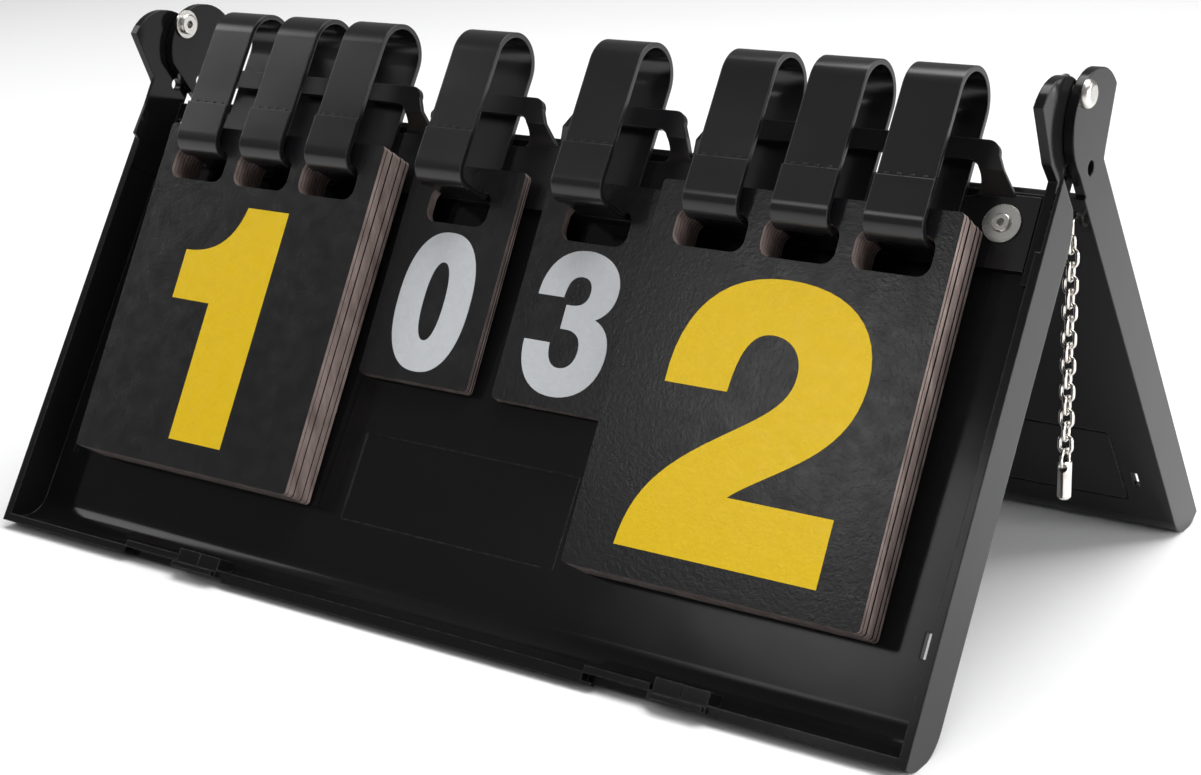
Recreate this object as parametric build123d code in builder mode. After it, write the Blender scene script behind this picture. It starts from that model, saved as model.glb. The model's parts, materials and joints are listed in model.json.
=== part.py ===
from build123d import *
import os
from math import cos, radians, sin

# Tabletop flip scoreboard in a two-tray carrying case, opened as an A-frame.
# Millimetres. World: +X right, -Y front, +Z up, table at Z = 0.
# Tray frame: origin on the hinge axis, +X right, +Y into the tray, -Z down the tray, mouth at Y = 0.

# ---- driving dimensions -------------------------------------------------------------------------
WIDTH = 385.0            # across the outer ears
LENGTH = 206.5           # hinge axis to the bottom rim of a tray
DEPTH = 17.0             # mouth to outer face of a tray
LEAN = 33.35             # angle of each tray from the vertical
AXIS_HEIGHT = 175.95     # hinge axis above the table
WALL = 3.0               # side and bottom walls
FLOOR_WALL = 2.5         # tray floor
CORNER_R = 14.5          # outer rounding between floor and bottom wall
TRAY_TOP = 28.0          # hinge axis to the top edge of the tray floor

EAR = 3.2                # thickness of a hinge ear
EAR_GAP = 0.4            # between neighbouring ears
EAR_R = 17.4             # dome of an ear
PIVOT_R = 2.5            # hinge rivet shank
RUNNING = 0.05           # radial clearance of the hinge rivets
LOCK_HOLE_R = 2.4        # lock-pin hole in both ears

RING_WIDTH = 19.6
RING_BAND = 1.8
RING_FRONT = -11.0       # outer face of the front strip
RING_REAR = 12.3         # outer face of the rear leg
RING_BOTTOM = 54.0
RING_SEAM = 35.5         # where the lower hook starts
RING_PITCH = 32.7
SMALL_X = 29.6           # ring of a small card, from the centre
BIG_X = 114.7            # middle ring of a big card, from the centre

PLATE = 2.0              # hanger plate thickness
PLATE_BACK = DEPTH - FLOOR_WALL
PLATE_TOP = 29.5
PLATE_BOTTOM = 53.5
BAR_TOP = 15.0           # top edge of the bridges
BAR_FRONT = 5.8          # front face of the bridges
STUD_X = 171.3           # hanger rivets
STUD_DOWN = 39.2
EYE_DOWN = 35.8          # hole for the chain hook
CHAIN_X = 187.4

CARD_TOP = 43.0
MARGIN = 8.5             # card edge above the ring slots
SLOT_W = 27.0
SLOT_H = 13.0
SLOT_R = 4.5
CARD_R = 1.5
BIG_CARD = (107.6, 129.3)
SMALL_CARD = (49.0, 79.5)
BIG_CARD_BOARD = 1.5     # thickness of the large cards
SMALL_CARD_BOARD = 0.4

FRONT = Location((0, 0, AXIS_HEIGHT), (-LEAN, 0, 0))
REAR = Location((0, 0, AXIS_HEIGHT), (LEAN, 0, 180))
RING_X = [side * x for side in (-1, 1) for x in (SMALL_X, BIG_X - RING_PITCH, BIG_X, BIG_X + RING_PITCH)]

os.makedirs("parts", exist_ok=True)


def write(part, label, place):
    """Put one finished piece in the world and export it as its own node."""
    placed = place * part
    placed.label = label
    export_step(placed, f"parts/{label}.step")


# ---- tray moulding: both halves of the case are this one moulding ----------------------------------
HALF = WIDTH / 2
INNER_EAR_X = HALF - EAR - EAR_GAP      # outer face of the inner ear
LIP = 2.8                               # tongue that stands proud of the rim below the outer ear
TONGUE = 1.4
RECESSES = ((-113.0, 26.0), (91.8, 24.6))   # middle and width of the latch recesses on the bottom rim
TABS = (-89.5, 115.5)                       # middles of the latch tabs


def tray_outline():
    """Side section of the tray, closed at the mouth."""
    with BuildLine() as line:
        Polyline((0, -TRAY_TOP + 1), (DEPTH, -TRAY_TOP), (DEPTH, -LENGTH + CORNER_R))
        ThreePointArc(
            (DEPTH, -LENGTH + CORNER_R),
            (DEPTH - CORNER_R * (1 - cos(radians(45))), -LENGTH + CORNER_R * (1 - sin(radians(45)))),
            (DEPTH - CORNER_R, -LENGTH),
        )
        Polyline((DEPTH - CORNER_R, -LENGTH), (0, -LENGTH), (0, -TRAY_TOP + 1))
    return line.line


def cavity_outline():
    """Inside of the tray, open at the mouth and at the top."""
    inner_r = CORNER_R - WALL
    floor = DEPTH - FLOOR_WALL
    with BuildLine() as line:
        Polyline((-1, -TRAY_TOP + 20), (floor, -TRAY_TOP + 20), (floor, -LENGTH + WALL + inner_r))
        ThreePointArc(
            (floor, -LENGTH + WALL + inner_r),
            (floor - inner_r * (1 - cos(radians(45))), -LENGTH + WALL + inner_r * (1 - sin(radians(45)))),
            (floor - inner_r, -LENGTH + WALL),
        )
        Polyline((floor - inner_r, -LENGTH + WALL), (-1, -LENGTH + WALL), (-1, -TRAY_TOP + 20))
    return line.line


def ear_outline(root):
    """Ear with a round back, a beak on the mouth side and a neck; root is where it ends on the mouth side."""
    centre = (-1.5, -14.0)
    beak = (centre[0] - EAR_R, centre[1] + 0.8)
    back = (centre[0] + EAR_R, centre[1] - 4.3)
    with BuildLine() as line:
        ThreePointArc(beak, (centre[0], centre[1] + EAR_R), back)
        Polyline(back, (back[0], -60), (root, -60), (root, -27), (-3.0, -24.6), beak)
    return line.line


with BuildPart() as tray:
    with BuildSketch(Plane.YZ.offset(-HALF)):
        add(tray_outline())
        make_face()
    extrude(amount=WIDTH)
    with BuildSketch(Plane.YZ.offset(-HALF + WALL)):
        add(cavity_outline())
        make_face()
    extrude(amount=WIDTH - 2 * WALL, mode=Mode.SUBTRACT)
    # the side wall at the inner-ear end is cut back so that the other tray's outer ear can swing past
    with BuildSketch(Plane.YZ.offset(INNER_EAR_X)):
        with BuildLine():
            Polyline((-1, -26.8), (12.2, -32.4), (15.0, -36.0), (DEPTH, -42.0), (DEPTH + 1, -42.0),
                     (DEPTH + 1, -20), (-1, -20), (-1, -26.8))
        make_face()
    extrude(amount=10, mode=Mode.SUBTRACT)
    # outer ear, with the tongue that laps inside the other tray
    with BuildSketch(Plane.YZ.offset(-HALF)):
        with BuildLine():
            add(ear_outline(0))
        make_face()
    extrude(amount=EAR)
    with BuildSketch(Plane.YZ.offset(-HALF + EAR - TONGUE)):
        with BuildLine():
            Polyline(
                (1, -24.6), (-3.0, -24.6), (-2.6, -35.7), (-3.1, -48.2), (0, -49.6), (1, -49.6), (1, -24.6)
            )
        make_face()
    extrude(amount=TONGUE)
    # inner ear on its boss
    with BuildSketch(Plane.YZ.offset(INNER_EAR_X - EAR)):
        with BuildLine():
            add(ear_outline(4.5))
        make_face()
        with Locations((DEPTH - 0.5, -30)):
            Rectangle(3, 63, mode=Mode.SUBTRACT)
    extrude(amount=EAR)
    with BuildSketch(Plane.YZ.offset(INNER_EAR_X - EAR)):
        with Locations((9.5, -48)):
            Rectangle(10, 24)
    extrude(amount=EAR + EAR_GAP + 1)
    # rebate for the other tray's tongue
    with Locations((HALF - WALL + 0.7, 1.2, -38)):
        Box(2.2, 5.0, 25, mode=Mode.SUBTRACT)
    # hinge and lock-pin holes through both ears
    for x in (-HALF, INNER_EAR_X - EAR):
        with BuildSketch(Plane.YZ.offset(x - 1)):
            Circle(PIVOT_R + RUNNING)
            with Locations((8.8, -22.3)):
                Circle(LOCK_HOLE_R)
        extrude(amount=EAR + 2, mode=Mode.SUBTRACT)
    # latch recesses and tabs on the bottom rim: a tab laps into the other tray's recess
    for x, width in RECESSES:
        with Locations((x, 0, -LENGTH)):
            Box(width, 8.0, 5.0, mode=Mode.SUBTRACT)
        with Locations((x, 5.5, -LENGTH + 3.8)):
            Box(width, 11.0, 2.4)
    with Locations((3.5, 1.2, -LENGTH - 0.5)):
        Box(160.0, 2.4, 1.2)
    for x in TABS:
        with Locations((x - 5.0, 3.5, -LENGTH + 4.6)):
            Box(10.0, 7.0, 5.2)
        with Locations((x + 5.0, 4.0, -LENGTH + 3.6)):
            Box(9.5, 8.0, 7.0)
        with Locations((x, -0.8, -LENGTH + 1.2)):
            Box(19.0, 3.6, 1.9)
    # blank label recess and a strap slot in the floor, rivet holes for the hanger plate
    with Locations((1.4, DEPTH - FLOOR_WALL, -158.2)):
        Box(92.5, 0.8, 31.6, mode=Mode.SUBTRACT)
    for side in (-1, 1):
        with Locations((side * 182.3, DEPTH - 1, -169.5)):
            Box(2.2, 6, 8, mode=Mode.SUBTRACT)
        with BuildSketch(Plane.XZ.offset(-DEPTH - 1)):
            with Locations((side * STUD_X, -STUD_DOWN)):
                Circle(2.05)
        extrude(amount=FLOOR_WALL + 2, mode=Mode.SUBTRACT)
    # chain eye beside the outer ear
    with BuildSketch(Plane.XZ.offset(-DEPTH - 1)):
        with Locations((-CHAIN_X, -EYE_DOWN)):
            Circle(1.6)
    extrude(amount=FLOOR_WALL + 2, mode=Mode.SUBTRACT)
    # engraved plain panel on the outer face
    with BuildSketch(Plane.XZ.offset(-DEPTH)):
        with Locations((-117.6, -163.3)):
            RectangleRounded(120, 38.2, 2)
            RectangleRounded(118.4, 36.6, 1.4, mode=Mode.SUBTRACT)
    extrude(amount=0.5, mode=Mode.SUBTRACT)
    # foot: a narrow flat where the rounded bottom stands on the table
    split(
        bisect_by=Plane(
            origin=(0, AXIS_HEIGHT * sin(radians(LEAN)), -AXIS_HEIGHT * cos(radians(LEAN))),
            x_dir=(1, 0, 0),
            z_dir=(0, -sin(radians(LEAN)), cos(radians(LEAN))),
        ),
        keep=Keep.TOP,
    )
write(tray.part, "front_shell", FRONT)
write(tray.part, "rear_shell", REAR)


# ---- hinge rivets: dome head outside, washer and rolled end inside -----------------------------------
HEAD_R = 4.5
WASHER_R = 5.5
WASHER = 0.8
ROLL_R = 4.0
EAR_STACK = 2 * EAR + EAR_GAP

for name, side in (("left", -1), ("right", 1)):
    outward = Axis((0, 0, 0), (side, 0, 0))
    plane = Plane(origin=(side * HALF, 0, 0), x_dir=(0, 1, 0), z_dir=(side, 0, 0))
    with BuildPart() as rivet:
        with BuildSketch(plane.offset(-EAR_STACK - WASHER - 0.3)):
            Circle(PIVOT_R)
        extrude(amount=EAR_STACK + WASHER + 0.3 + RUNNING)
        with BuildSketch(plane.offset(RUNNING)):
            Circle(HEAD_R)
        extrude(amount=2.3)
        fillet(rivet.faces().sort_by(outward)[-1].edges(), 2.0)
        with BuildSketch(plane.offset(-EAR_STACK - WASHER - 2 * RUNNING)):
            Circle(ROLL_R)
        extrude(amount=-1.5)
        fillet(rivet.faces().sort_by(outward)[0].edges(), 0.7)
        with BuildSketch(plane.offset(-EAR_STACK - WASHER - 2 * RUNNING - 1.5)):
            Circle(1.5)
        extrude(amount=4, mode=Mode.SUBTRACT)
    write(rivet.part, f"hinge_rivet_{name}", FRONT)
    with BuildPart() as washer:
        with BuildSketch(plane.offset(-EAR_STACK - RUNNING)):
            Circle(WASHER_R)
            Circle(PIVOT_R + RUNNING, mode=Mode.SUBTRACT)
        extrude(amount=-WASHER)
    write(washer.part, f"hinge_washer_{name}", FRONT)


# ---- hanger plate: riveted on the floor, its bridges step forward into the rings ----------------------
SMALL_HALF = 23.0        # half width of a small bridge at its top
BIG_HALF = RING_PITCH + 20.0
BRIDGES = [
    (0.5 - SMALL_X, SMALL_HALF), (0.5 + SMALL_X, SMALL_HALF), (-BIG_X, BIG_HALF), (BIG_X, BIG_HALF)
]
FLARE = 5.5              # widening of a bridge towards its foot
BRIDGE_R = 4.5           # rounding of a bridge top corner
WINDOW_EDGE = 5.0        # end of a bridge to the end of its window

with BuildPart() as hanger:
    with BuildSketch(Plane.YZ.offset(-181.7)):
        with Locations((PLATE_BACK - PLATE / 2, -(PLATE_TOP + PLATE_BOTTOM) / 2)):
            Rectangle(PLATE, PLATE_BOTTOM - PLATE_TOP)
    extrude(amount=2 * 181.7)
    for x, half in BRIDGES:
        with BuildSketch(Plane.YZ.offset(x - half - FLARE)):
            with BuildLine():
                Polyline(
                    (BAR_FRONT, -BAR_TOP), (BAR_FRONT + PLATE, -BAR_TOP), (BAR_FRONT + PLATE, -23.6),
                    (PLATE_BACK, -PLATE_TOP - 0.4), (PLATE_BACK, -PLATE_TOP - 3),
                    (PLATE_BACK - PLATE, -PLATE_TOP - 3), (PLATE_BACK - PLATE, -PLATE_TOP - 1.2),
                    (BAR_FRONT, -24.4), (BAR_FRONT, -BAR_TOP),
                )
            make_face()
        extrude(amount=2 * (half + FLARE))
        for side in (-1, 1):
            with BuildSketch(Plane.XZ.offset(-BAR_FRONT + 1)):
                end = x + side * half
                inner = end - side * BRIDGE_R
                outer = end + side * (FLARE + 1)
                corner = BRIDGE_R * (1 - cos(radians(45)))
                with BuildLine():
                    ThreePointArc(
                        (inner, -BAR_TOP),
                        (end - side * corner, -BAR_TOP - corner),
                        (end, -BAR_TOP - BRIDGE_R),
                    )
                    Polyline(
                        (end, -BAR_TOP - BRIDGE_R), (outer - side, -PLATE_TOP + 0.2),
                        (outer, -PLATE_TOP + 0.2), (outer, -BAR_TOP + 1),
                        (inner, -BAR_TOP + 1), (inner, -BAR_TOP),
                    )
                make_face()
            extrude(amount=-DEPTH, mode=Mode.SUBTRACT)
        with BuildSketch(Plane.XZ.offset(-BAR_FRONT + 1)):
            with Locations((x, -26.6)):
                RectangleRounded(2 * (half - WINDOW_EDGE), 9.4, 4.6)
        extrude(amount=-DEPTH, mode=Mode.SUBTRACT)
    with BuildSketch(Plane.XZ.offset(-PLATE_BACK - 1)):
        for side in (-1, 1):
            with Locations((side * STUD_X, -STUD_DOWN)):
                Circle(2.05)
    extrude(amount=PLATE + 2, mode=Mode.SUBTRACT)
write(hanger.part, "hanger_plate", FRONT)

for name, side in (("left", -1), ("right", 1)):
    stud_plane = Plane(origin=(side * STUD_X, 0, -STUD_DOWN), x_dir=(1, 0, 0), z_dir=(0, -1, 0))
    with BuildPart() as stud_washer:
        with BuildSketch(stud_plane.offset(-PLATE_BACK + PLATE)):
            Circle(6.2)
            Circle(2.05, mode=Mode.SUBTRACT)
        extrude(amount=WASHER)
    write(stud_washer.part, f"hanger_washer_{name}", FRONT)
    with BuildPart() as stud:
        with BuildSketch(stud_plane.offset(-DEPTH)):
            Circle(2.0)
        extrude(amount=FLOOR_WALL + PLATE + WASHER)
        with BuildSketch(stud_plane.offset(-DEPTH)):
            Circle(4.2)
        extrude(amount=-1.3)
        fillet(stud.faces().sort_by(Axis.Y)[-1].edges(), 1.2)
        with BuildSketch(stud_plane.offset(-PLATE_BACK + PLATE + WASHER)):
            Circle(3.0)
        extrude(amount=1.1)
        fillet(stud.faces().sort_by(Axis.Y)[0].edges(), 0.5)
        with BuildSketch(stud_plane.offset(-PLATE_BACK + PLATE + WASHER + 1.1)):
            Circle(1.2)
        extrude(amount=-2.5, mode=Mode.SUBTRACT)
    write(stud.part, f"hanger_rivet_{name}", FRONT)


# ---- rings: flat bands that loop round a bridge; the lower hook snaps on at mid height ----------------
DOME_R = (RING_REAR - RING_FRONT) / 2
RING_MID = (RING_REAR + RING_FRONT) / 2
BEND_R = 6.5
HEEL_R = 4.0
HOOK_EXTRA = 0.7


def ring_outline():
    """Outer side profile of a ring."""
    dome_centre = -BAR_TOP + 9.2
    with BuildLine() as line:
        ThreePointArc((RING_FRONT, dome_centre), (RING_MID, dome_centre + DOME_R), (RING_REAR, dome_centre))
        Line((RING_REAR, dome_centre), (RING_REAR, -RING_BOTTOM + HEEL_R))
        RadiusArc((RING_REAR, -RING_BOTTOM + HEEL_R), (RING_REAR - HEEL_R, -RING_BOTTOM), HEEL_R)
        Line((RING_REAR - HEEL_R, -RING_BOTTOM), (RING_FRONT + BEND_R, -RING_BOTTOM))
        RadiusArc((RING_FRONT + BEND_R, -RING_BOTTOM), (RING_FRONT, -RING_BOTTOM + BEND_R), BEND_R)
        Line((RING_FRONT, -RING_BOTTOM + BEND_R), (RING_FRONT, dome_centre))
    return line.line


for number, ring_x in enumerate(sorted(RING_X), start=1):
    with BuildPart() as ring:
        with BuildSketch(Plane.YZ.offset(ring_x - RING_WIDTH / 2)):
            add(ring_outline())
            make_face()
            offset(amount=-RING_BAND, mode=Mode.SUBTRACT)
        extrude(amount=RING_WIDTH)
        with BuildSketch(Plane.YZ.offset(ring_x - RING_WIDTH / 2 - 0.3)):
            add(ring_outline())
            make_face()
            offset(amount=HOOK_EXTRA)
            add(make_face(ring_outline().edges(), mode=Mode.PRIVATE), mode=Mode.SUBTRACT)
            with Locations((RING_FRONT + BEND_R / 2 - 2, -RING_SEAM - 12)):
                Rectangle(BEND_R + 6, 24, mode=Mode.INTERSECT)
        extrude(amount=RING_WIDTH + 0.6)
    write(ring.part, f"ring_{number}", FRONT)


# ---- score cards ---------------------------------------------------------------------------------------
def card(x, size, slots, top, bottom, down, thickness):
    """One card hung on its rings: top and bottom are the depths of its front face at its two edges."""
    width, height = size
    rise = (bottom - top) / height
    face = Plane(origin=(x, top, -down), x_dir=(1, 0, 0), z_dir=(0, -(1 - rise * rise) ** 0.5, -rise))
    with BuildPart() as sheet:
        with BuildSketch(face):
            with Locations((0, -height / 2)):
                RectangleRounded(width, height, CARD_R)
            for slot in slots:
                with Locations((slot - x, -MARGIN - SLOT_H / 2)):
                    RectangleRounded(SLOT_W, SLOT_H, SLOT_R, mode=Mode.SUBTRACT)
        extrude(amount=-thickness)
    return sheet.part


def card_set(name, x, size, slots, count, thickness, tops, bottoms):
    """A front card and, in one node, the loose cards behind it.

    tops and bottoms are the depths of the first and the last card at their two edges.
    """
    deck = []
    for number in range(count):
        share = number / (count - 1)
        top = tops[0] + share * (tops[1] - tops[0])
        bottom = bottoms[0] + share * (bottoms[1] - bottoms[0])
        down = CARD_TOP + 0.3 * share
        slip = 0.25 * sin(2.4 * number)
        deck.append(card(x + slip, size, slots, top, bottom, down, thickness))
    write(deck[0], f"{name}_front_card", FRONT)
    write(Compound(children=deck[1:]), f"{name}_card_stack", FRONT)


for name, side in (("home", -1), ("guest", 1)):
    rings = [side * (BIG_X + step * RING_PITCH) for step in (-1, 0, 1)]
    middle = side * (BIG_X - 1.0)
    card_set(f"{name}_score", middle, BIG_CARD, rings, 9, BIG_CARD_BOARD, (-6.2, 7.4), (-0.4, 12.0))
card_set("home_set", 0.8 - SMALL_X, SMALL_CARD, [-SMALL_X], 8, SMALL_CARD_BOARD, (5.6, 8.75), (9.4, 12.8))
card_set("guest_set", 0.8 + SMALL_X, SMALL_CARD, [SMALL_X], 6, SMALL_CARD_BOARD, (6.4, 8.75), (10.2, 12.8))


# ---- lock pin on its chain, hooked into the floor of the rear tray --------------------------------------
HOOK_WIRE = 0.7
RING_WIRE = 0.55
LINK_WIRE = 0.7
LINK_WIDTH = 5.4
LINK_LENGTH = 7.2
LINK_PITCH = LINK_LENGTH - 4 * LINK_WIRE - 0.05
LINKS = 15
RING_LENGTH = 7.4
PIN_R = 2.25


def rear_point(down, depth):
    """World (Y, Z) of a point of the rear tray."""
    y = down * sin(radians(LEAN)) - depth * cos(radians(LEAN))
    z = AXIS_HEIGHT - down * cos(radians(LEAN)) - depth * sin(radians(LEAN))
    return (y, z)


def link(width, length, wire, across, top):
    """One closed link hanging from height top; across is True when it is seen broad from the front."""
    facing = Plane(origin=(CHAIN_X, CHAIN_Y, top - length / 2), x_dir=(1, 0, 0) if across else (0, 1, 0),
                   z_dir=(0, -1, 0) if across else (1, 0, 0))
    straight = (length - width) / 2
    radius = width / 2 - wire
    with BuildPart() as loop:
        with BuildLine(facing) as path:
            Line((radius, -straight), (radius, straight))
            ThreePointArc((radius, straight), (0, straight + radius), (-radius, straight))
            Line((-radius, straight), (-radius, -straight))
            ThreePointArc((-radius, -straight), (0, -straight - radius), (radius, -straight))
        with BuildSketch(Plane(origin=path.line @ 0, z_dir=path.line % 0)):
            Circle(wire)
        sweep()
    return loop.part


hook_tip = rear_point(EYE_DOWN - 3.0, PLATE_BACK - 2.2)
hook_inside = rear_point(EYE_DOWN, PLATE_BACK - 2.2)
hook_outside = rear_point(EYE_DOWN, DEPTH + 1.6)
CHAIN_Y = hook_outside[0]
EYE_TOP = hook_outside[1] - 4.0
with BuildPart() as hook:
    with BuildLine(Plane(origin=(CHAIN_X, 0, 0), x_dir=(0, 1, 0), z_dir=(1, 0, 0))) as wire_path:
        FilletPolyline(hook_tip, hook_inside, hook_outside, (CHAIN_Y, EYE_TOP - 0.5), radius=1.0)
    with BuildSketch(Plane(origin=wire_path.line @ 0, z_dir=wire_path.line % 0)):
        Circle(HOOK_WIRE)
    sweep()
    add(link(5.6, 7.0, HOOK_WIRE, False, EYE_TOP))
write(hook.part, "chain_hook", Location())

SEAT = 2 * HOOK_WIRE + 2 * LINK_WIRE + 0.05     # a link's top above the bottom of the eye it hangs in
FIRST_TOP = EYE_TOP - 7.0 + SEAT
links = []
for n in range(LINKS):
    links.append(link(LINK_WIDTH, LINK_LENGTH, LINK_WIRE, n % 2 == 0, FIRST_TOP - n * LINK_PITCH))
write(Compound(children=links), "chain_links", Location())
LAST_BOTTOM = FIRST_TOP - (LINKS - 1) * LINK_PITCH - LINK_LENGTH
RING_TOP = LAST_BOTTOM + 2 * LINK_WIRE + 2 * RING_WIRE + 0.05
write(link(7.2, RING_LENGTH, RING_WIRE, LINKS % 2 == 0, RING_TOP), "pin_ring", Location())
PIN_HOLE = RING_TOP - RING_LENGTH + RING_WIRE + 0.4
with BuildPart() as pin:
    with BuildSketch(Plane(origin=(CHAIN_X, CHAIN_Y, PIN_HOLE - 11.0))):
        Circle(PIN_R)
    extrude(amount=13.0)
    chamfer(pin.faces().sort_by(Axis.Z)[0].edges(), 0.8)
    chamfer(pin.faces().sort_by(Axis.Z)[-1].edges(), 0.3)
    with BuildSketch(Plane(origin=(CHAIN_X, CHAIN_Y - 5, PIN_HOLE), x_dir=(1, 0, 0), z_dir=(0, 1, 0))):
        Circle(1.5)
    extrude(amount=10, mode=Mode.SUBTRACT)
write(pin.part, "lock_pin", Location())
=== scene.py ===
import json
from math import cos, pi, radians, sin

import bpy
from mathutils import Matrix, Vector


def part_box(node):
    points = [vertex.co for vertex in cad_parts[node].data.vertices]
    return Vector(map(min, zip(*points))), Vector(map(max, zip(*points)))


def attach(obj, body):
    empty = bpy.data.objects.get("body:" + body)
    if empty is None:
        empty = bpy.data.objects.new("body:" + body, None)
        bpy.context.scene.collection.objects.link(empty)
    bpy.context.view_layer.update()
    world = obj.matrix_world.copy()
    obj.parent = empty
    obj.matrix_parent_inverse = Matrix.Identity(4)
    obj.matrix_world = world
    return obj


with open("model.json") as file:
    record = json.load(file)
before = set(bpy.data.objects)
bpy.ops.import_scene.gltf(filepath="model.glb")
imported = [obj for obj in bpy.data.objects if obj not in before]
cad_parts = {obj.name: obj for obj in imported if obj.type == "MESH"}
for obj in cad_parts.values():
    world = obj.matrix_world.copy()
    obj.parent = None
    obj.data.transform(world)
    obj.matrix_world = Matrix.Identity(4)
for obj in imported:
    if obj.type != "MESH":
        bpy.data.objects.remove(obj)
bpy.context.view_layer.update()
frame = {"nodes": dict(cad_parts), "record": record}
NODES = frame["nodes"]

# ---- places taken from the frame -------------------------------------------------------------------
MM = 0.001
JOINTS = {joint["name"]: joint for joint in frame["record"]["behaviour"]["joints"]}
HINGE = Vector(JOINTS["case_hinge"]["pos_m"])
LEAN = radians(33.35)        # angle of the front tray from the vertical


def front_point(x, down, depth):
    """World point on the front tray: down from the hinge axis and in from the rim, in mm; x in metres."""
    y = (-down * sin(LEAN) + depth * cos(LEAN)) * MM
    z = (-down * cos(LEAN) - depth * sin(LEAN)) * MM
    return Vector((x, HINGE.y + y, HINGE.z + z))


def tray_axes(x, down, depth):
    """Matrix at a front-tray point: local X along the hinge, Y up the tray, Z out of its mouth."""
    return Matrix.Translation(front_point(x, down, depth)) @ Matrix.Rotation(pi / 2 - LEAN, 4, "X")


# ---- camera ----------------------------------------------------------------------------------------
LENS = 63.8
CAMERA_PLACE = Vector((0.4402, -0.5935, HINGE.z + 0.1208))
CAMERA_FORWARD = Vector((-0.5577, 0.7688, -0.3130)).normalized()
CAMERA_DOWN = Vector((0.1499, -0.2776, -0.9489))


def make_camera():
    data = bpy.data.cameras.new("camera")
    data.lens = LENS
    data.sensor_width = 36.0
    data.clip_end = 60.0
    camera = bpy.data.objects.new("camera", data)
    right = CAMERA_DOWN.cross(CAMERA_FORWARD).normalized()
    up = right.cross(CAMERA_FORWARD).normalized()
    turn = Matrix((right, up, -CAMERA_FORWARD)).transposed().to_4x4()
    camera.matrix_world = Matrix.Translation(CAMERA_PLACE) @ turn
    bpy.context.scene.collection.objects.link(camera)
    bpy.context.scene.camera = camera


make_camera()


# ---- materials -------------------------------------------------------------------------------------
class Paint:
    """A Principled material built up by small steps."""

    def __init__(self, name, color, roughness, metallic=0.0):
        self.material = bpy.data.materials.new(name)
        self.material.use_nodes = True
        self.tree = self.material.node_tree
        self.shader = self.tree.nodes["Principled BSDF"]
        self.shader.inputs["Base Color"].default_value = (*color, 1.0)
        self.shader.inputs["Roughness"].default_value = roughness
        self.shader.inputs["Metallic"].default_value = metallic
        self.coords = self.tree.nodes.new("ShaderNodeTexCoord")

    def link(self, source, target):
        self.tree.links.new(source, target)

    def noise(self, scale, detail=3.0, stretch=(1, 1, 1), distortion=0.0):
        mapping = self.tree.nodes.new("ShaderNodeMapping")
        mapping.inputs["Scale"].default_value = stretch
        self.link(self.coords.outputs["Object"], mapping.inputs["Vector"])
        texture = self.tree.nodes.new("ShaderNodeTexNoise")
        texture.inputs["Scale"].default_value = scale
        texture.inputs["Detail"].default_value = detail
        texture.inputs["Distortion"].default_value = distortion
        self.link(mapping.outputs["Vector"], texture.inputs["Vector"])
        return texture.outputs["Fac"]

    def remap(self, value, low, high, out_low, out_high):
        node = self.tree.nodes.new("ShaderNodeMapRange")
        node.inputs["From Min"].default_value = low
        node.inputs["From Max"].default_value = high
        node.inputs["To Min"].default_value = out_low
        node.inputs["To Max"].default_value = out_high
        self.link(value, node.inputs["Value"])
        return node.outputs["Result"]

    def math(self, operation, a, b):
        node = self.tree.nodes.new("ShaderNodeMath")
        node.operation = operation
        for socket, value in zip(node.inputs, (a, b)):
            if isinstance(value, (int, float)):
                socket.default_value = value
            else:
                self.link(value, socket)
        return node.outputs["Value"]

    def mix_color(self, factor, a, b):
        node = self.tree.nodes.new("ShaderNodeMix")
        node.data_type = "RGBA"
        self.link(factor, node.inputs["Factor"])
        for socket, value in ((node.inputs[6], a), (node.inputs[7], b)):
            if isinstance(value, tuple):
                socket.default_value = (*value, 1.0)
            else:
                self.link(value, socket)
        return node.outputs[2]

    def bump(self, heights, edge_radius):
        """Bumps of (height value, depth in metres, strength), over edges softened to edge_radius."""
        bevel = self.tree.nodes.new("ShaderNodeBevel")
        bevel.samples = 4
        bevel.inputs["Radius"].default_value = edge_radius
        normal = bevel.outputs["Normal"]
        for value, distance, strength in heights:
            node = self.tree.nodes.new("ShaderNodeBump")
            node.inputs["Distance"].default_value = distance
            node.inputs["Strength"].default_value = strength
            self.link(value, node.inputs["Height"])
            self.link(normal, node.inputs["Normal"])
            normal = node.outputs["Normal"]
        self.link(normal, self.shader.inputs["Normal"])
        return bevel.outputs["Normal"]

    def edge_mask(self, softened):
        """1 on edges, 0 on flats, from how far the softened normal turns from the true one."""
        geometry = self.tree.nodes.new("ShaderNodeNewGeometry")
        dot = self.tree.nodes.new("ShaderNodeVectorMath")
        dot.operation = "DOT_PRODUCT"
        self.link(softened, dot.inputs[0])
        self.link(geometry.outputs["Normal"], dot.inputs[1])
        return self.remap(dot.outputs["Value"], 0.995, 0.85, 0.0, 1.0)


def moulded_plastic(name, color, edge_highlight_color, roughness, edge_radius, sink, shine=0.5):
    """Black moulding: shallow sink marks, handling smears in the gloss, edges painted paler as a painted
    highlight, uneven along their length.
    """
    paint = Paint(name, color, roughness)
    paint.shader.inputs["Specular IOR Level"].default_value = shine
    sinks = paint.noise(22.0, 1.5)
    smears = paint.noise(14.0, 4.0, (1, 1, 2.5))
    grain = paint.noise(2600.0, 2.0)
    softened = paint.bump(((sinks, sink, 0.5), (grain, 0.00002, 0.25)), edge_radius)
    # painted highlight: edges get a paler colour, broken up by noise, standing in for the light lines along
    # the rims
    highlight_breakup = paint.remap(paint.noise(300.0), 0.35, 0.65, 0.2, 1.0)
    edges = paint.math("MULTIPLY", paint.edge_mask(softened), highlight_breakup)
    paint.link(paint.mix_color(edges, color, edge_highlight_color), paint.shader.inputs["Base Color"])
    rough = paint.remap(smears, 0.35, 0.75, roughness * 0.85, roughness * 1.35)
    rough = paint.math("ADD", rough, paint.math("MULTIPLY", edges, 0.2))
    paint.link(rough, paint.shader.inputs["Roughness"])
    return paint.material


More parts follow.
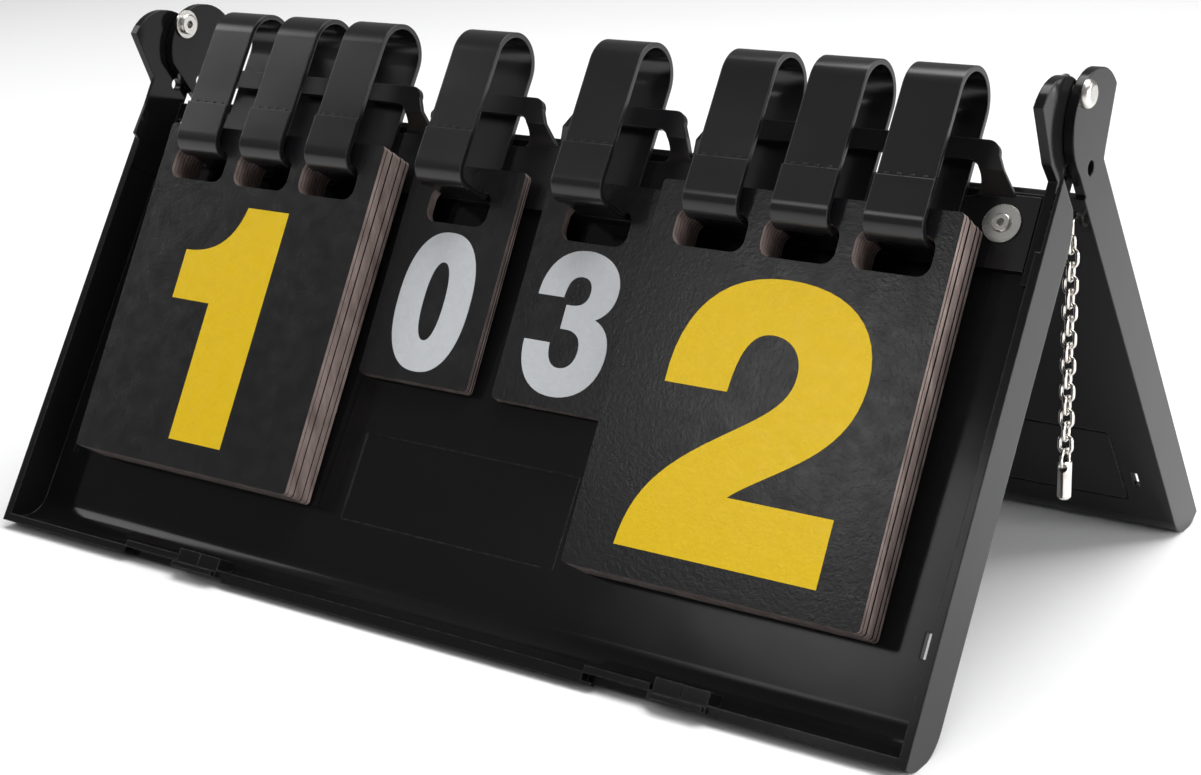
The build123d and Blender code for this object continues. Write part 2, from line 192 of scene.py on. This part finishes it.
def card_stock(name, cut_color, dark_cut):
    """Laminated black card: a wavy glossy film on its faces, streaky board on its cut edges."""
    film_color = (0.008, 0.008, 0.009)
    paint = Paint(name, film_color, 0.2)
    paint.shader.inputs["Specular IOR Level"].default_value = 0.35
    across = paint.tree.nodes.new("ShaderNodeVectorMath")
    across.operation = "DOT_PRODUCT"
    across.inputs[1].default_value = (0, cos(LEAN), -sin(LEAN))
    paint.link(paint.coords.outputs["Normal"], across.inputs[0])
    facing = paint.math("ABSOLUTE", across.outputs["Value"], 0.0)
    is_edge = paint.remap(facing, 0.7, 0.6, 0.0, 1.0)
    streaks = paint.remap(paint.noise(190.0, 5.0, (1, 1, 0.35)), 0.3, 0.7, 0.0, 1.0)
    board = paint.mix_color(streaks, cut_color, dark_cut)
    paint.link(paint.mix_color(is_edge, film_color, board), paint.shader.inputs["Base Color"])
    waves = paint.noise(24.0, 1.0, (1, 0.6, 0.6))
    peel = paint.noise(620.0, 2.0, (1, 1, 1), 0.8)
    paint.bump(((waves, 0.0006, 0.25), (peel, 0.00012, 0.5)), 0.0002)
    film = paint.remap(paint.noise(160.0, 3.0), 0.3, 0.7, 0.2, 0.28)
    rough = paint.math("MAXIMUM", film, paint.math("MULTIPLY", is_edge, 0.85))
    paint.link(rough, paint.shader.inputs["Roughness"])
    return paint.material


def print_ink(name, color, faded):
    """Printed digit under the same wavy film as the card."""
    paint = Paint(name, color, 0.22)
    paint.shader.inputs["Specular IOR Level"].default_value = 0.3
    paint.link(
        paint.mix_color(paint.remap(paint.noise(240.0, 3.0), 0.3, 0.75, 0.0, 1.0), color, faded),
        paint.shader.inputs["Base Color"],
    )
    waves = paint.noise(24.0, 1.0)
    peel = paint.noise(620.0, 2.0, (1, 1, 1), 0.8)
    paint.bump(((waves, 0.0006, 0.25), (peel, 0.00012, 0.5)), 0.0001)
    film = paint.remap(paint.noise(160.0, 3.0), 0.3, 0.7, 0.24, 0.32)
    paint.link(film, paint.shader.inputs["Roughness"])
    return paint.material


def plated_steel(name, color, dull, roughness):
    """Zinc or nickel plate with dull patches and fine scratches."""
    paint = Paint(name, color, roughness, 1.0)
    patches = paint.remap(paint.noise(140.0, 3.0), 0.35, 0.8, 0.0, 1.0)
    paint.link(paint.mix_color(patches, color, dull), paint.shader.inputs["Base Color"])
    scratches = paint.noise(1500.0, 2.0, (1, 6, 1))
    paint.bump(((scratches, 0.00002, 0.2),), 0.0002)
    paint.link(paint.remap(patches, 0.0, 1.0, roughness, roughness + 0.12), paint.shader.inputs["Roughness"])
    return paint.material


def pale_floor():
    """Matt pale floor with a faint uneven tone."""
    paint = Paint("floor", (0.86, 0.86, 0.86), 0.6)
    shade = paint.noise(3.0, 2.0)
    tone = paint.mix_color(shade, (0.88, 0.88, 0.88), (0.85, 0.85, 0.855))
    paint.link(tone, paint.shader.inputs["Base Color"])
    return paint.material


# the second colour of each moulding is its painted edge highlight colour
SHELL = moulded_plastic(
    "shell_plastic", (0.0065, 0.0065, 0.007), (0.035, 0.034, 0.033), 0.12, 0.0007, 0.0004, 0.2
)
HANGER = moulded_plastic("hanger_plastic", (0.008, 0.008, 0.009), (0.05, 0.05, 0.05), 0.2, 0.0004, 0.0002)
RING = moulded_plastic("ring_plastic", (0.007, 0.007, 0.008), (0.03, 0.03, 0.032), 0.2, 0.0006, 0.00004)
CARD = card_stock("card_film_and_board", (0.30, 0.235, 0.215), (0.13, 0.095, 0.085))
YELLOW = print_ink("yellow_ink", (0.74, 0.49, 0.005), (0.77, 0.515, 0.007))
WHITE = print_ink("white_ink", (0.58, 0.60, 0.62), (0.61, 0.63, 0.65))
ZINC = plated_steel("zinc_plate", (0.66, 0.65, 0.62), (0.56, 0.54, 0.50), 0.24)
NICKEL = plated_steel("nickel_plate", (0.72, 0.70, 0.67), (0.50, 0.46, 0.41), 0.16)


def dress_nodes():
    """Give every CAD node the material of its piece."""
    for name, node in NODES.items():
        if "shell" in name:
            material = SHELL
        elif name == "hanger_plate":
            material = HANGER
        elif name.startswith("ring_"):
            material = RING
        elif "card" in name:
            material = CARD
        elif name.startswith(("chain", "pin_ring", "lock_pin")):
            material = NICKEL
        else:
            material = ZINC
        for slot in node.material_slots:
            slot.material = material


dress_nodes()


# ---- digits printed on the front cards ------------------------------------------------------------------
def bezier(points, steps=12):
    """Points along one cubic, without its last point."""
    a, b, c, d = (Vector(p) for p in points)
    return [
        (1 - t) ** 3 * a + 3 * (1 - t) ** 2 * t * b + 3 * (1 - t) * t * t * c + t ** 3 * d
        for t in (n / steps for n in range(steps))
    ]


def outline(start, *pieces):
    """Closed outline: a piece is a point, for a straight line, or three points, for a cubic."""
    points, last = [], start
    for piece in pieces:
        if isinstance(piece[0], tuple):
            points += bezier((last, *piece))
            last = piece[2]
        else:
            points.append(Vector(last))
            last = piece
    return points + [Vector(last)]


def oval(half_width, half_height, middle, square=2.5):
    """Rounded oval, a little squarer than an ellipse."""
    points = []
    for n in range(64):
        a = 2 * pi * n / 64
        u = half_width * abs(cos(a)) ** (2 / square) * (1 if cos(a) >= 0 else -1)
        v = half_height * abs(sin(a)) ** (2 / square) * (1 if sin(a) >= 0 else -1)
        points.append(Vector((u, middle + v)))
    return points


# digit outlines in mm: right of the card's middle, and down from its top edge
ONE = [outline(
    (-2.2, 29.4), (18.1, 29.4), (18.1, 119.2), (-8.0, 119.2), (-8.0, 67.3), (-27.0, 67.3), (-27.0, 48.4),
    ((-14.0, 48.4), (-4.8, 43.5), (-2.2, 29.4)),
)]
TWO = [outline(
    (-33.4, 65.9), ((-34.5, 42.0), (-22.0, 28.0), (1.0, 28.0)), ((24.0, 28.0), (36.8, 39.0), (36.8, 56.0)),
    ((36.8, 69.0), (30.0, 77.5), (18.0, 85.5)), ((10.0, 91.0), (3.5, 94.5), (-0.6, 98.3)),
    (36.8, 98.3), (36.8, 119.8), (-36.2, 119.8), ((-35.2, 102.0), (-27.0, 92.5), (-9.0, 80.5)),
    ((4.0, 71.8), (12.6, 67.0), (12.6, 57.5)), ((12.6, 50.5), (7.5, 46.0), (0.8, 46.0)),
    ((-6.5, 46.0), (-9.8, 52.5), (-10.2, 65.9)),
)]
ZERO = [oval(16.0, 25.5, 50.2, 2.35), oval(4.6, 14.3, 50.0, 2.3)]
THREE = [outline(
    (-16.6, 41.2), ((-16.6, 30.5), (-10.0, 24.2), (-0.6, 24.2)), ((8.8, 24.2), (15.4, 29.6), (15.4, 37.2)),
    ((15.4, 42.4), (12.6, 45.6), (9.0, 47.4)), ((13.8, 49.0), (16.8, 53.2), (16.8, 59.2)),
    ((16.8, 69.0), (9.6, 75.4), (-0.6, 75.4)), ((-10.8, 75.4), (-17.2, 68.6), (-17.4, 57.2)),
    (-6.6, 57.2), ((-6.4, 62.6), (-4.2, 65.4), (-0.6, 65.4)), ((3.0, 65.4), (5.4, 62.8), (5.4, 58.8)),
    ((5.4, 54.0), (2.4, 52.0), (-2.0, 52.0)), (-4.0, 52.0), (-4.0, 43.6), (-2.0, 43.6),
    ((2.2, 43.6), (4.4, 41.8), (4.4, 38.2)), ((4.4, 35.2), (2.6, 33.4), (-0.4, 33.4)),
    ((-4.0, 33.4), (-5.6, 36.0), (-5.8, 41.2)),
)]
INK_LIFT = 0.05 * MM


def card_face(node):
    """Matrix at the middle of a card's top edge, on its front: X right, Y down the card, Z into it."""
    corners = [v.co for v in NODES[node].data.vertices]
    foot = min(corners, key=lambda v: v.y)
    upper = max(corners, key=lambda v: v.z)
    right = Vector((1, 0, 0))
    run = Vector((0, foot.y - upper.y, foot.z - upper.z)).normalized()
    inward = right.cross(run)
    middle = (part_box(node)[0][0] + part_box(node)[1][0]) / 2
    place = Matrix.Translation(Vector((middle, upper.y, upper.z)) - inward * INK_LIFT)
    return place @ Matrix((right, run, inward)).transposed().to_4x4()


def print_digit(name, node, body, outlines, ink):
    """A thin flat digit on the front of a card, riding that card's body."""
    curve = bpy.data.curves.new(name, "CURVE")
    curve.dimensions = "2D"
    curve.fill_mode = "BOTH"
    curve.extrude = INK_LIFT * 0.9
    for points in outlines:
        spline = curve.splines.new("POLY")
        spline.points.add(len(points) - 1)
        for target, p in zip(spline.points, points):
            target.co = (p.x * MM, p.y * MM, 0, 1)
        spline.use_cyclic_u = True
    shape = bpy.data.objects.new(name + "_curve", curve)
    mesh = bpy.data.meshes.new_from_object(shape)
    bpy.data.objects.remove(shape)
    digit = bpy.data.objects.new(name, mesh)
    digit.matrix_world = card_face(node)
    digit.data.materials.clear()
    digit.data.materials.append(ink)
    bpy.context.scene.collection.objects.link(digit)
    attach(digit, body)


print_digit("digit_one", "home_score_front_card", "home_score_leaf", ONE, YELLOW)
print_digit("digit_two", "guest_score_front_card", "guest_score_leaf", TWO, YELLOW)
print_digit("digit_zero", "home_set_front_card", "home_set_leaf", ZERO, WHITE)
print_digit("digit_three", "guest_set_front_card", "guest_set_leaf", THREE, WHITE)


# ---- snap joint across the front strip of every ring ------------------------------------------------------
SEAM_DOWN = 35.4             # mm below the hinge axis
STRIP_FACE = -11.0           # depth of the strip's outer face, in mm
TOOTH_STEP = 4.4             # mm from tooth to tooth
TOOTH_SIZE = Vector((1.5, 1.8, 0.5)) * MM


def small_box(name, size, matrix, material):
    """A box of the given size, centred on the matrix."""
    mesh = bpy.data.meshes.new(name)
    x, y, z = (s / 2 for s in size)
    corners = [(i * x, j * y, k * z) for i in (-1, 1) for j in (-1, 1) for k in (-1, 1)]
    faces = [(0, 1, 3, 2), (4, 6, 7, 5), (0, 4, 5, 1), (2, 3, 7, 6), (0, 2, 6, 4), (1, 5, 7, 3)]
    mesh.from_pydata(corners, [], faces)
    mesh.materials.append(material)
    piece = bpy.data.objects.new(name, mesh)
    piece.matrix_world = matrix
    bpy.context.scene.collection.objects.link(piece)
    return piece


def ring_seams():
    """Four small teeth in a row across each ring."""
    for number in range(1, 9):
        low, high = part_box(f"ring_{number}")
        middle = (low[0] + high[0]) / 2
        for tooth in range(4):
            place = tray_axes(middle + (tooth - 1.5) * TOOTH_STEP * MM, SEAM_DOWN, STRIP_FACE)
            piece = small_box(f"ring_{number}_tooth_{tooth}", TOOTH_SIZE, place, RING)
            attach(piece, "front")


ring_seams()


# ---- floor and light -----------------------------------------------------------------------------------
def make_floor():
    """Plain floor at table height."""
    mesh = bpy.data.meshes.new("floor")
    reach = 12.0
    corners = [(-reach, -reach, 0), (reach, -reach, 0), (reach, reach, 0), (-reach, reach, 0)]
    mesh.from_pydata(corners, [], [(0, 1, 2, 3)])
    mesh.materials.append(pale_floor())
    floor = bpy.data.objects.new("floor", mesh)
    bpy.context.scene.collection.objects.link(floor)


def softbox(name, place, target, size, power):
    """Rectangular studio light at place, facing target; metres and watts."""
    data = bpy.data.lights.new(name, "AREA")
    data.shape = "RECTANGLE"
    data.size, data.size_y = size
    data.energy = power
    light = bpy.data.objects.new(name, data)
    direction = Vector(target) - Vector(place)
    light.matrix_world = Matrix.Translation(place) @ direction.to_track_quat("-Z", "Y").to_matrix().to_4x4()
    bpy.context.scene.collection.objects.link(light)


def make_light():
    """Soft studio light: a grey surround and five softboxes."""
    world = bpy.data.worlds.new("studio")
    bpy.context.scene.world = world
    world.use_nodes = True
    world.node_tree.nodes["Background"].inputs["Color"].default_value = (1.0, 1.0, 1.0, 1.0)
    world.node_tree.nodes["Background"].inputs["Strength"].default_value = 0.24
    centre = (0, 0, 0.1)
    softbox("top", (0.3, 0.5, 2.0), centre, (2.4, 1.6), 62)
    softbox("left", (-1.9, -0.5, 1.0), centre, (0.7, 1.4), 11)
    softbox("right_back", (1.8, 1.2, 1.0), centre, (0.8, 1.3), 7)
    softbox("card_sheen", (-0.72, -1.34, 1.16), (0.16, -0.07, 0.05), (0.35, 0.35), 1.3)
    softbox("under_frame", (0.9, -0.02, 0.22), (0.15, 0.0, 0.0), (0.5, 0.25), 5)


make_floor()
make_light()
bpy.context.scene.view_settings.view_transform = "Standard"
